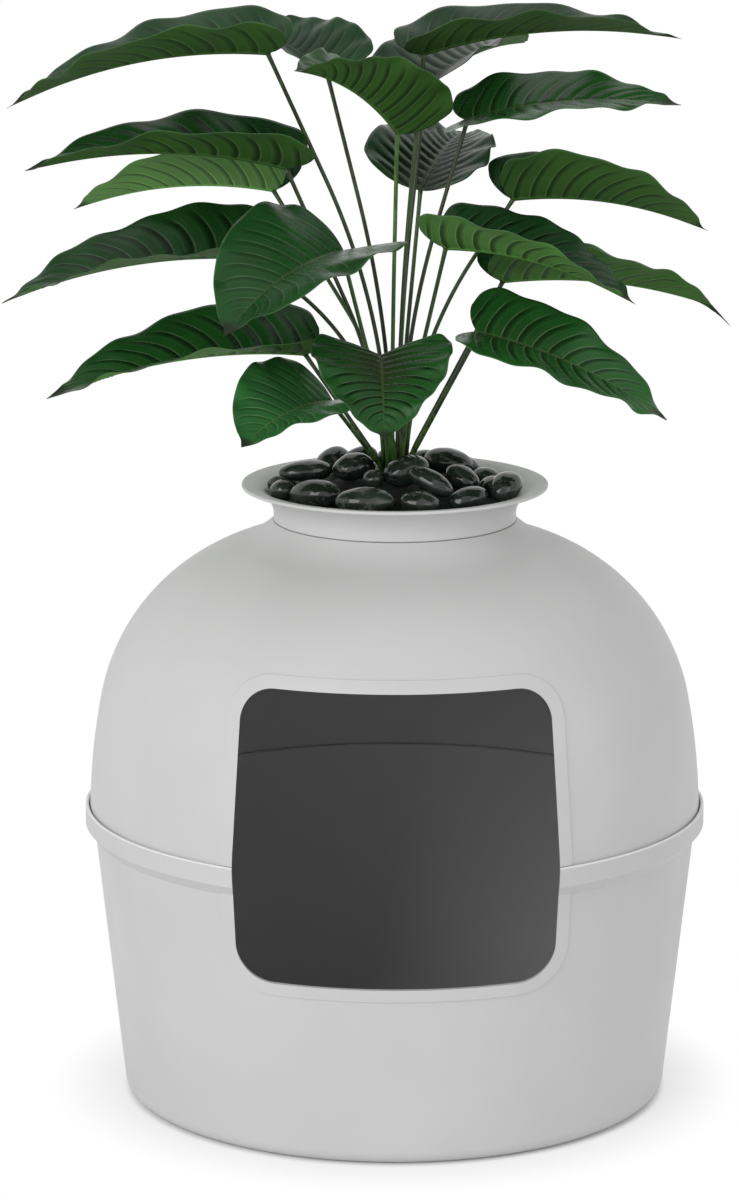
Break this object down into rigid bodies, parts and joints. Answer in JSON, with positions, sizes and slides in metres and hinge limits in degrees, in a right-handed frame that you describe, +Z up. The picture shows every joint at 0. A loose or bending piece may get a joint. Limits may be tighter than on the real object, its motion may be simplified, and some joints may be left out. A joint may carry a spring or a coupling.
{
  "type": "litter box enclosure",
  "caption": "Planter-shaped litter box enclosure: tapered tub and lift-off dome with a rounded entry, topped by a lift-out pot of black pebbles and an artificial leafy plant.",
  "frame": {"origin": "centre of the tub's flat underside, on the floor", "axes": "+Z up along the body's axis, -Y towards the entry, +X to the right of someone who faces the entry"},
  "size_m": [0.6031, 0.5037, 0.9087],
  "materials": {
    "body_plastic": "satin moulded light grey plastic",
    "foam": "dark open-cell foam",
    "pebble_stone": "polished black pebble",
    "stem_plastic": "satin green plastic with a wire core",
    "leaf_plastic": "waxy dark green leaf with raised veins"
  },
  "bodies": {
    "base": {"base_tub": "body_plastic"},
    "dome": {"dome_cover": "body_plastic"},
    "planter": {"planter_pot": "body_plastic", "foam_block": "foam", "pebbles_front": "pebble_stone", "pebbles_right": "pebble_stone", "pebbles_back": "pebble_stone", "pebbles_left": "pebble_stone"},
    "plant": {"plant_trunk": "stem_plastic", "stem_01": "stem_plastic", "stem_02": "stem_plastic", "stem_03": "stem_plastic", "stem_04": "stem_plastic", "stem_05": "stem_plastic", "stem_06": "stem_plastic", "stem_07": "stem_plastic", "stem_08": "stem_plastic", "stem_09": "stem_plastic", "stem_10": "stem_plastic", "stem_11": "stem_plastic", "stem_12": "stem_plastic", "stem_13": "stem_plastic", "stem_14": "stem_plastic", "stem_15": "stem_plastic", "stem_16": "stem_plastic", "stem_17": "stem_plastic", "stem_18": "stem_plastic", "leaf_01": "leaf_plastic", "leaf_02": "leaf_plastic", "leaf_03": "leaf_plastic", "leaf_04": "leaf_plastic", "leaf_05": "leaf_plastic", "leaf_06": "leaf_plastic", "leaf_07": "leaf_plastic", "leaf_08": "leaf_plastic", "leaf_09": "leaf_plastic", "leaf_10": "leaf_plastic", "leaf_11": "leaf_plastic", "leaf_12": "leaf_plastic", "leaf_13": "leaf_plastic", "leaf_14": "leaf_plastic", "leaf_15": "leaf_plastic", "leaf_16": "leaf_plastic", "leaf_17": "leaf_plastic", "leaf_18": "leaf_plastic"}
  },
  "joints": [
    {"name": "dome_lift", "type": "slide", "parent": "base", "child": "dome", "axis": [0, 0, 1], "range_m": [0, 0.12]},
    {"name": "planter_lift", "type": "slide", "parent": "dome", "child": "planter", "axis": [0, 0, 1], "range_m": [0, 0.11]},
    {"name": "plant_pull", "type": "slide", "parent": "planter", "child": "plant", "axis": [0, 0, 1], "range_m": [0, 0.12]}
  ]
}
